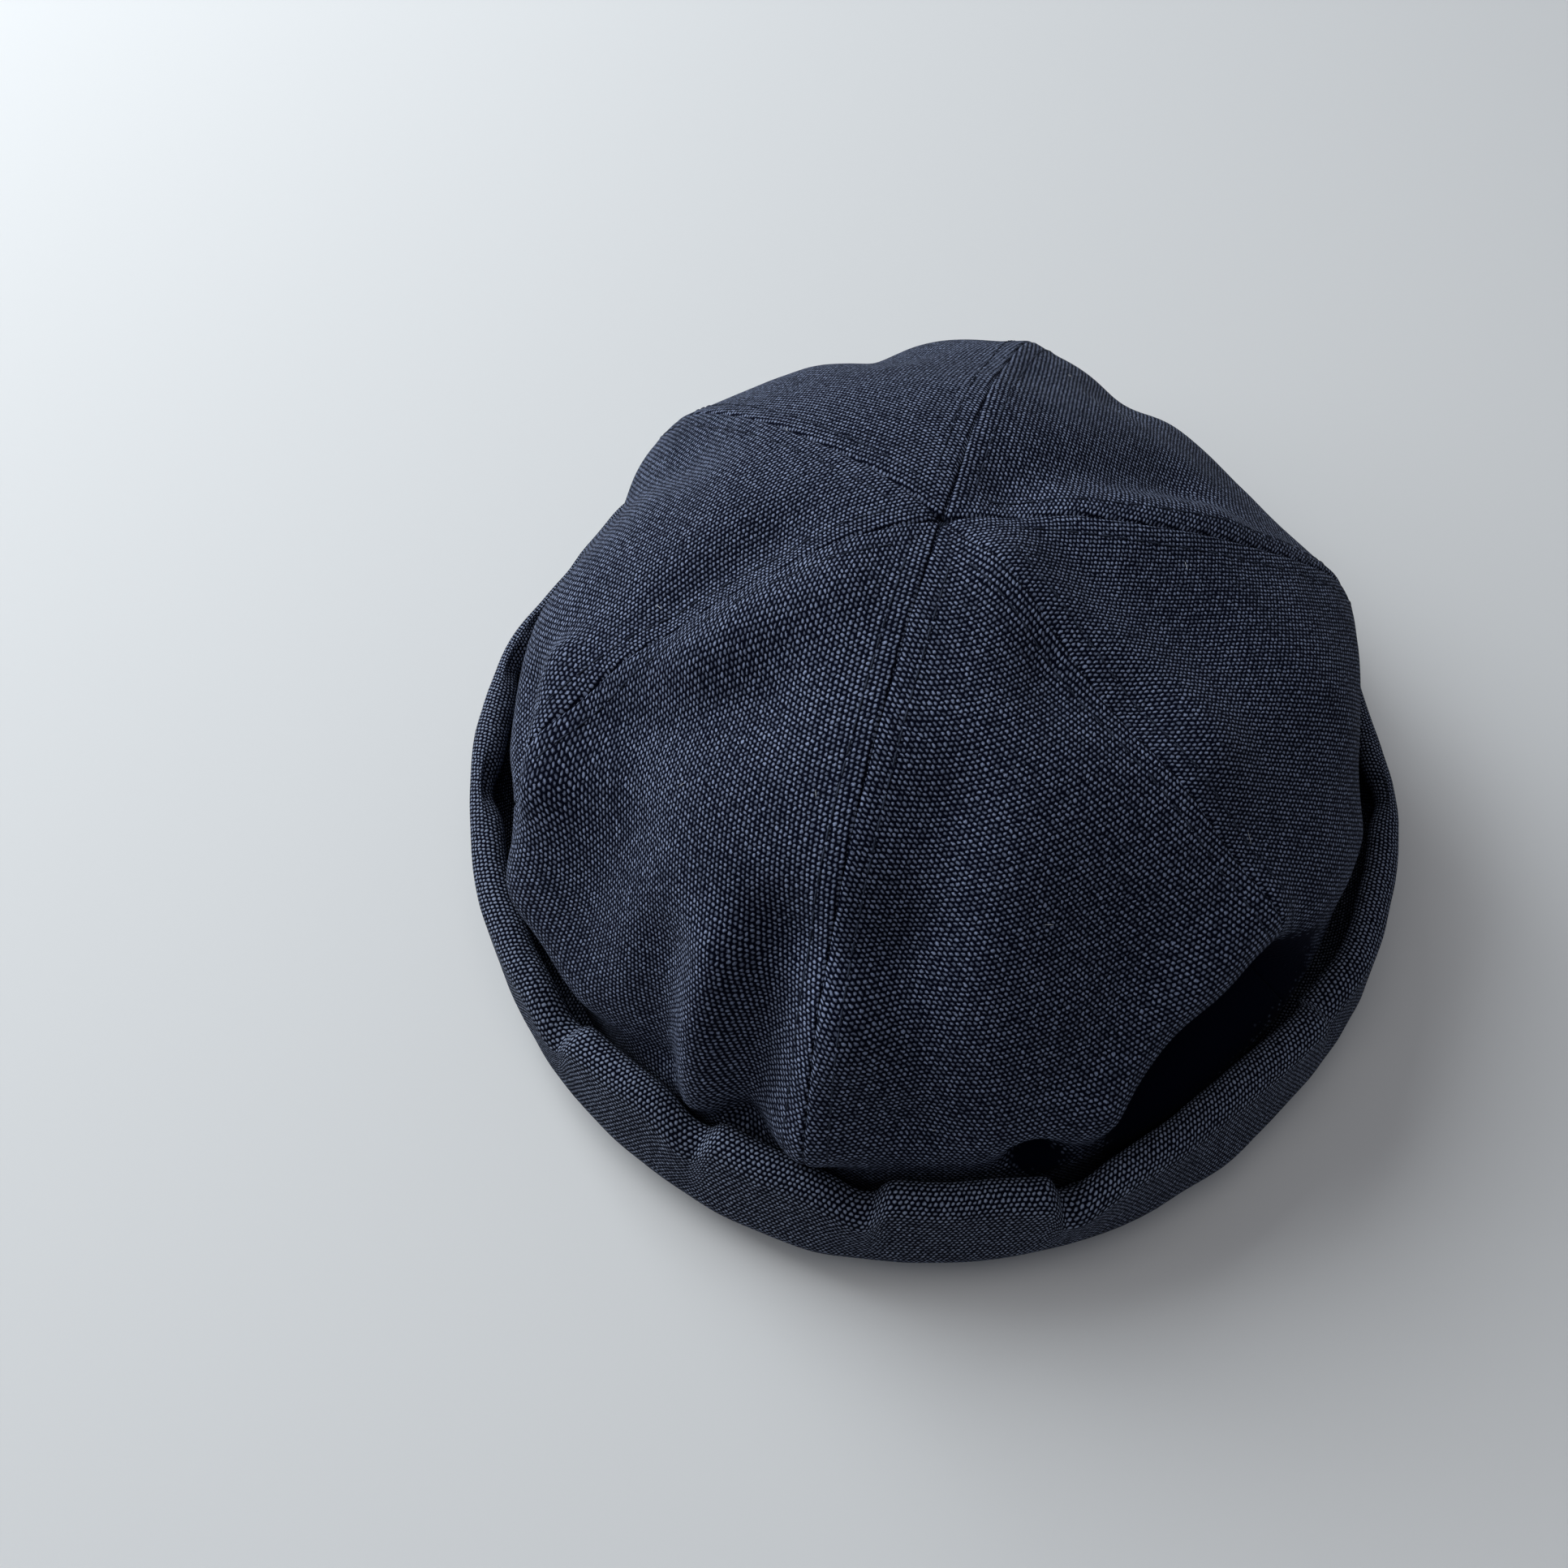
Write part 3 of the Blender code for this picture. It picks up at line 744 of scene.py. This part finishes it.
def thicken(path, thickness):
    """The closed outline of a strip of cloth along a path, with its length down each side."""
    left, right, run = [], [], 0.0
    for i, point in enumerate(path):
        before, after = path[max(i - 1, 0)], path[min(i + 1, len(path) - 1)]
        run += (point - before).length
        along = (after - before).normalized()
        aside = Vector((-along.y, along.x)) * (thickness / 2)
        left.append((point + aside, run))
        right.append((point - aside, run))
    return left, right


def round_end(path, start, thickness):
    """Points round a cut end of the strip, from one side to the other."""
    end, before = (path[0], path[1]) if start else (path[-1], path[-2])
    along = (end - before).normalized() * (thickness / 2)
    aside = Vector((-along.y, along.x))
    angles = [math.pi * i / 5 for i in range(1, 5)]
    return [end + along * math.sin(a) * 0.8 + aside * math.cos(a) for a in angles]


strip_path = cuff_path()
STRIP_WIDTH = sum((b - a).length for a, b in zip(strip_path, strip_path[1:]))
print("the cuff's strip is", round(STRIP_WIDTH / MM, 1), "mm wide once folded")

# %% [markdown]
# A straight strip that is rolled outward has too little length at its edge for the curve it has
# to follow, so it crimps: here and there one scallop of the roll dips and tucks under the lip
# of the next. A tuck turns the azimuth back on itself for a degree or two while one side drops,
# which folds the surface over like a pleat. The cloth that goes down into a tuck is counted, so
# that the weave on its wall isn't stretched.

# %% Crimps of the roll
CRIMP_DROP = 5 * MM
CRIMP_PUSH = 2.5 * MM
LIP_SHARE = 0.34
LIP_TURN = math.radians(1.0)
CREASE_DEPTH = 0.9 * MM
LIP_CLOTH = 2.8 * MM
# azimuth, width, shares of the drop and of the push, lip: 1 where the lip is on the side of the
# greater azimuth and -1 where it is on the other
CRIMPS = (
    (241, 4.4, 0.9, -0.5, 1),
    (259, 4.6, 0.9, -0.6, 1),
    (277, 4.4, 1.0, -0.8, 1),
    (295, 4.4, 1.1, -1.0, -1),
    (332, 4.6, 0.8, 0.3, -1),
    (34, 6.0, 0.5, 0.3, 1),
    (72, 6.0, 0.6, 0.3, -1),
    (112, 7.0, 0.6, 0.4, 1),
    (150, 6.0, 0.6, 0.3, -1),
)
# azimuth, width, how far the inner edge of the roll is pinched outwards
PINCHES = (
    (183, 2.6, 1.4 * MM),
    (190, 3.0, 2.2 * MM),
    (208, 3.5, 2.6 * MM),
    (4, 3.5, 2.0 * MM),
)
PINCH_DROP = 0.6
CUFF_LEAN = 5 * MM
LEAN_RISE = 1.2 * MM
BELLY_WAVE = 0.7 * MM
ROLL_MIDDLE = CUFF_REACH - CUFF_CLOTH / 2 - ROLL_RADIUS


def crimp(azimuth):
    """(drop, push, crease, turn, cloth taken up) of the roll at each azimuth."""
    drop, push, crease, turn, taken = (np.zeros_like(azimuth) for _ in range(5))
    for at, width, drop_share, push_share, lip in CRIMPS:
        off = lip * ((np.degrees(azimuth) - at + 180) % 360 - 180) / width
        dip = np.exp(-((off / np.where(off < 0, 1.0, LIP_SHARE)) ** 2))
        drop += drop_share * CRIMP_DROP * dip
        push += push_share * CRIMP_PUSH * dip
        tucked = max(drop_share - 0.5, 0.0) * 2
        crease += tucked * CREASE_DEPTH * np.exp(-((off / LIP_SHARE) ** 2))
        turn -= tucked * lip * LIP_TURN * np.exp(-(((off - 1.5 * LIP_SHARE) / (1.5 * LIP_SHARE)) ** 2))
        # the steep wall under the lip takes up cloth at once, and the slack is given back slowly
        step = smooth_step(-0.1, 0.6, off) - smooth_step(-1.2, 2.0, off)
        taken += lip * drop_share * LIP_CLOTH * step
    return drop, push, crease, turn, taken


def pinch(azimuth):
    """How far the roll's inner edge is pulled outwards at each azimuth."""
    offs = [((np.degrees(azimuth) - at + 180) % 360 - 180) / width for at, width, _ in PINCHES]
    return sum(amount * np.exp(-(off**2)) for off, (_, _, amount) in zip(offs, PINCHES))


def cuff_point(azimuth, out, height):
    """Points of the cuff, crimped, leant in and set out from the hem, and their flat lengths."""
    drop, push, crease, turn, taken = crimp(azimuth)
    outside = smooth_step(0.0, CUFF_REACH / 3, out)
    upper = outside * smooth_step(CUFF_HEIGHT / 3, CUFF_HEIGHT, height)
    edge = outside * smooth_step(0.5 * CUFF_HEIGHT, 0.85 * CUFF_HEIGHT, height)
    x, y = np.cos(azimuth), np.sin(azimuth)
    wave = noise_at(x * 4.2, y * 4.2, height * 40) + 0.5 * noise_at(x * 11, y * 11, height * 90)
    wave = BELLY_WAVE * wave * outside * smooth_step(0.0, CUFF_HEIGHT / 3, height)
    inner = smooth_step(ROLL_MIDDLE + 1 * MM, ROLL_MIDDLE - 2 * MM, out) * edge
    out = np.where(out > 0, out * around_plan(azimuth, PLAN_CUFF), out) + pinch(azimuth) * inner
    height = height - PINCH_DROP * pinch(azimuth) * inner
    lean = around_plan(azimuth, LEAN_CUFF, LEAN_AZIMUTH) * outside
    lean = lean * smooth_step(0.3 * CUFF_HEIGHT, CUFF_HEIGHT, height)
    out = out - push * edge - crease * upper + wave - lean * CUFF_LEAN
    height = height - drop * edge + lean * LEAN_RISE
    radius = hem_radius(azimuth) + out
    turned = azimuth + turn * edge
    places = np.stack((radius * np.cos(turned), radius * np.sin(turned), height), axis=-1)
    return places - CENTRE, turned * HEM_LINE / math.tau + taken * edge


print("crimps:", len(CRIMPS))

# %% [markdown]
# Now the section is spun. Each of its vertices carries the length of cloth up to it, so that the
# flat map can be made afterwards. The spin gives coarse steps, and only the edges that run round
# the ring are cut finer, because that is where the crimps need vertices. The roll's crest is
# rubbed pale, as it is where hands take hold of the cap.

# %% Spin the cuff
CREST_RUB = 0.9
CUFF_STEPS = 180
CUFF_CUTS = 5
RUN_SAME = 1e-7


def runs_round(edge, run_layer):
    """True for an edge that goes round the ring, and doesn't lie in the section."""
    first, second = edge.verts
    return abs(first[run_layer] - second[run_layer]) < RUN_SAME and edge.calc_length() > 1 * MM


def make_cuff():
    """The turned-up cuff: its section spun into a ring, oval and crimped."""
    left, right = thicken(strip_path, CUFF_CLOTH)
    outline = left + [(p, STRIP_WIDTH) for p in round_end(strip_path, False, CUFF_CLOTH)]
    outline += right[::-1] + [(p, 0.0) for p in round_end(strip_path, True, CUFF_CLOTH)]
    bm = bmesh.new()
    run_layer = bm.verts.layers.float.new("run")
    verts = []
    for point, run in outline:
        # the heel is set flat on the floor
        height = 0.0 if point.y < CUFF_CLOTH / 8 else point.y
        vert = bm.verts.new((HEM_HALF_WIDTH + point.x, 0.0, height))
        vert[run_layer] = run
        verts.append(vert)
    edges = [bm.edges.new((verts[i], verts[i - 1])) for i in range(len(verts))]
    bmesh.ops.spin(
        bm, geom=verts + edges, cent=(0, 0, 0), axis=(0, 0, 1), dvec=(0, 0, 0),
        angle=math.tau, steps=CUFF_STEPS, use_merge=True,
    )
    ring_edges = [edge for edge in bm.edges if runs_round(edge, run_layer)]
    bmesh.ops.subdivide_edges(bm, edges=ring_edges, cuts=CUFF_CUTS, use_grid_fill=True)
    bmesh.ops.recalc_face_normals(bm, faces=bm.faces[:])
    run = np.array([vert[run_layer] for vert in bm.verts])
    piece = finish_piece(bm, "rolled_cuff", cuff_canvas)
    mesh = piece.data
    x, y, z = read_places(mesh).T
    azimuth = np.arctan2(y, x)
    places, lengths = cuff_point(azimuth, np.hypot(x, y) - HEM_HALF_WIDTH, z)
    corners = corner_verts(mesh)
    around = lengths[corners].reshape(-1, 4)
    # a face that crosses from the end of the turn to its start carries on past the end
    crosses = around.max(axis=1) - around.min(axis=1) > HEM_LINE / 2
    around = np.where(crosses[:, None] & (around < 0), around + HEM_LINE, around).ravel()
    cut = np.stack((around, run[corners]), axis=-1)
    wear_and_shade = CREST_RUB * smooth_step(0.80 * CUFF_HEIGHT, 0.97 * CUFF_HEIGHT, z)
    write_cloth(mesh, places, cut, wear_and_shade)
    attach(piece, "root")
    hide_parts("cuff")
    return piece


cuff = make_cuff()
print("faces in the cuff:", len(cuff.data.polygons))

# %% [markdown]
# Topstitching holds the seam allowances down, one row on each side of every seam. Each stitch
# is a tiny stretched sphere, set on the cloth and turned along the row, and the two rows of a
# seam are one mesh. A stitch has only a few dozen faces, because there are hundreds of it.

# %% Topstitching
THREAD_RADIUS = 0.21 * MM
STITCH_LENGTH = 2.7 * MM
ROW_START = 11 * MM
ROW_END = 122 * MM
STITCH_LIFT = 0.08
POCKET_EDGE = 0.12


def thread_finish():
    """Matt navy thread, darker than the canvas's floats."""
    finish = Finish("navy_thread")
    where = finish.node("ShaderNodeTexCoord", {}, {}, "Object")
    spots = finish.node("ShaderNodeTexNoise", {}, {"Vector": where, "Scale": 700, "Detail": 2}, "Fac")
    colour = finish.mix(spots, (0.006, 0.009, 0.018, 1), (0.036, 0.044, 0.070, 1))
    finish.set(finish.shader.inputs["Base Color"], colour)
    finish.shader.inputs["Roughness"].default_value = 0.85
    finish.shader.inputs["Specular IOR Level"].default_value = 0.15
    return finish.material


def row_places(seam, side):
    """Ends of each stitch of one row, as points on the crown, but for those sunk in a pocket."""
    lengths = np.arange(ROW_START, ROW_END, STITCH_PITCH)
    ends = np.stack((lengths, lengths + STITCH_LENGTH), axis=-1).ravel()
    down = np.interp(ends, RULER_LENGTH, RULER_DOWN)
    seam_azimuth = FIRST_SEAM + seam * PANEL_SPAN + down * 0
    azimuth = seam_azimuth + side * STITCH_OFFSET / ring_radius(seam_azimuth, down)
    places = crown_point(azimuth, down, down * 0 - STITCH_LIFT)
    ways = outward(azimuth, down)
    sunk = pocket_depth(azimuth, down)
    shown = [i for i in range(0, len(ends), 2) if max(sunk[i], sunk[i + 1]) < POCKET_EDGE]
    return [(Vector(places[i]), Vector(places[i + 1]), Vector(ways[i])) for i in shown]


def add_stitch(bm, start, end, way, radius=THREAD_RADIUS):
    """One stitch lying on the cloth from start to end."""
    along = (end - start).normalized()
    side = way.cross(along).normalized()
    turn = Matrix((along, side, along.cross(side))).transposed().to_4x4()
    size = Matrix.Diagonal(((end - start).length / 2, radius, radius * 0.85, 1.0))
    spot = Matrix.Translation((start + end) / 2)
    upright = Matrix.Rotation(math.pi / 2, 4, "Y")
    bmesh.ops.create_uvsphere(
        bm, u_segments=6, v_segments=5, radius=1.0, matrix=spot @ turn @ size @ upright,
    )


def make_stitches(seam, material):
    """Both rows of topstitching along one seam."""
    bm = bmesh.new()
    for side in (-1, 1):
        for start, end, way in row_places(seam, side):
            add_stitch(bm, start, end, way)
    bmesh.ops.recalc_face_normals(bm, faces=bm.faces[:])
    piece = finish_piece(bm, f"topstitching_{seam + 1}", material)
    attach(piece, "root")
    return piece


thread = thread_finish()
rows = [make_stitches(seam, thread) for seam in range(PANEL_COUNT)]
print("stitch faces:", sum(len(row.data.polygons) for row in rows))

# %% [markdown]
# Two small things make the cap look used: the tack that draws the six seams together at the top,
# and a few bits of pale lint caught in the weave.

# %% Tack and lint
TACK_STITCHES = 5
TACK_PITCH = 0.42 * MM
TACK_HALF = 0.75 * MM
TACK_SLANT = 0.12 * MM
LINT_RADIUS = 0.055 * MM
LINT_LIFT = 0.12
# azimuth, down, direction, length in mm
LINT = (
    (283, 0.74, 20, 0.9),
    (334, 0.55, 70, 2.6),
    (202, 0.40, 40, 2.8),
    (262, 0.36, 120, 1.4),
    (300, 0.50, 160, 1.8),
    (238, 0.45, 80, 1.3),
    (20, 0.35, 10, 1.9),
    (150, 0.30, 60, 1.5),
    (80, 0.50, 130, 2.2),
)


def make_tack(material):
    """A short bar of stitches over the meeting of the seams."""
    height = crown_point(np.array([0.0]), np.array([TIP_DOWN]), np.array([0.0]))[0][2]
    top = Vector((CROWN_LEAN[0] - CENTRE[0], -CENTRE[1], height + 0.1 * MM))
    bm = bmesh.new()
    for i in range(TACK_STITCHES):
        at = top + Vector(((i - (TACK_STITCHES - 1) / 2) * TACK_PITCH, 0, 0))
        half = Vector((TACK_SLANT, TACK_HALF * (0.8 + 0.2 * (i % 2)), 0))
        add_stitch(bm, at - half, at + half, Vector((0, 0, 1)))
    bmesh.ops.recalc_face_normals(bm, faces=bm.faces[:])
    piece = finish_piece(bm, "top_tack", material)
    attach(piece, "root")
    return piece


def make_lint():
    """A few pale fibres on the crown."""
    finish = Finish("pale_lint")
    finish.shader.inputs["Base Color"].default_value = (0.42, 0.43, 0.45, 1)
    finish.shader.inputs["Roughness"].default_value = 0.9
    bm = bmesh.new()
    for azimuth, down, direction, length in LINT:
        turn, place = np.radians([azimuth]), np.array([down])
        middle = Vector(crown_point(turn, place, np.array([-LINT_LIFT]))[0])
        way = Vector(outward(turn, place)[0])
        side = way.cross(Vector((0, 0, 1))).normalized()
        heading = Matrix.Rotation(math.radians(direction), 3, way) @ side * (length * MM / 2)
        add_stitch(bm, middle - heading, middle + heading, way, LINT_RADIUS)
    bmesh.ops.recalc_face_normals(bm, faces=bm.faces[:])
    piece = finish_piece(bm, "lint", finish.material)
    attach(piece, "root")
    return piece


tack = make_tack(thread)
lint = make_lint()
print("tack and lint faces:", len(tack.data.polygons) + len(lint.data.polygons))

# %% [markdown]
# The floor is plain and pale, and takes the cap's soft shadow. It isn't part of the cap.

# %% Floor
FLOOR_HALF = 3.0


def make_floor():
    """A large pale floor under the cap."""
    bm = bmesh.new()
    bmesh.ops.create_grid(bm, x_segments=1, y_segments=1, size=FLOOR_HALF)
    finish = Finish("pale_floor")
    finish.shader.inputs["Base Color"].default_value = (0.74, 0.73, 0.71, 1)
    finish.shader.inputs["Roughness"].default_value = 0.8
    floor = finish_piece(bm, "floor", finish.material)


make_floor()
print("floor is", 2 * FLOOR_HALF, "m wide")

# %% [markdown]
# The photograph was taken from above and in front, with the daylight coming from behind and to
# the left. A large strong lamp stands for that light. A weak one overhead softens the front, a
# weak low one grazes the left side of the crown, and an even world fills the shade.

# %% Light and camera
CAMERA_PLACE = Vector((20.49, -181.56, 300.40)) * MM
CAMERA_AIM = Vector((-32.07, -10.38, 0.0)) * MM
CAMERA_LENS = 36.09
LAMP_AIM = Vector((0, 0, 30)) * MM
# name, place in metres, size in metres, watts, colour
LAMPS = (
    ("window", (-1.00, 0.42, 0.80), 0.9, 18, (0.87, 0.94, 1.0)),
    ("ceiling", (-0.10, -0.10, 1.30), 0.9, 2.2, (1.0, 0.98, 0.95)),
    ("low", (-1.10, -0.20, 0.40), 0.7, 3.2, (0.90, 0.95, 1.0)),
)
WORLD_COLOUR = (0.80, 0.86, 1.0, 1)
WORLD_STRENGTH = 0.20


def add_lamp(name, place, size, power, colour):
    """A soft square lamp that looks at the cap."""
    lamp = bpy.data.lights.new(name, "AREA")
    lamp.size = size
    lamp.energy = power
    lamp.color = colour
    holder = bpy.data.objects.new(name, lamp)
    holder.location = place
    holder.rotation_euler = (LAMP_AIM - Vector(place)).to_track_quat("-Z", "Y").to_euler()
    bpy.context.scene.collection.objects.link(holder)


def add_camera():
    """The camera, where the photograph was taken from."""
    camera = bpy.data.objects.new("camera", bpy.data.cameras.new("camera"))
    camera.data.lens = CAMERA_LENS
    camera.data.clip_start = 0.01
    camera.location = CAMERA_PLACE
    camera.rotation_euler = (CAMERA_AIM - CAMERA_PLACE).to_track_quat("-Z", "Y").to_euler()
    bpy.context.scene.collection.objects.link(camera)
    bpy.context.scene.camera = camera


def light_world():
    """An even sky that fills the shade."""
    world = bpy.data.worlds.new("studio")
    world.use_nodes = True
    sky = world.node_tree.nodes["Background"]
    sky.inputs["Color"].default_value = WORLD_COLOUR
    sky.inputs["Strength"].default_value = WORLD_STRENGTH
    bpy.context.scene.world = world


light_world()
for lamp in LAMPS:
    add_lamp(*lamp)
bpy.context.scene.view_settings.view_transform = "Standard"
add_camera()
print("camera is", round((CAMERA_AIM - CAMERA_PLACE).length / MM), "mm from what it looks at")
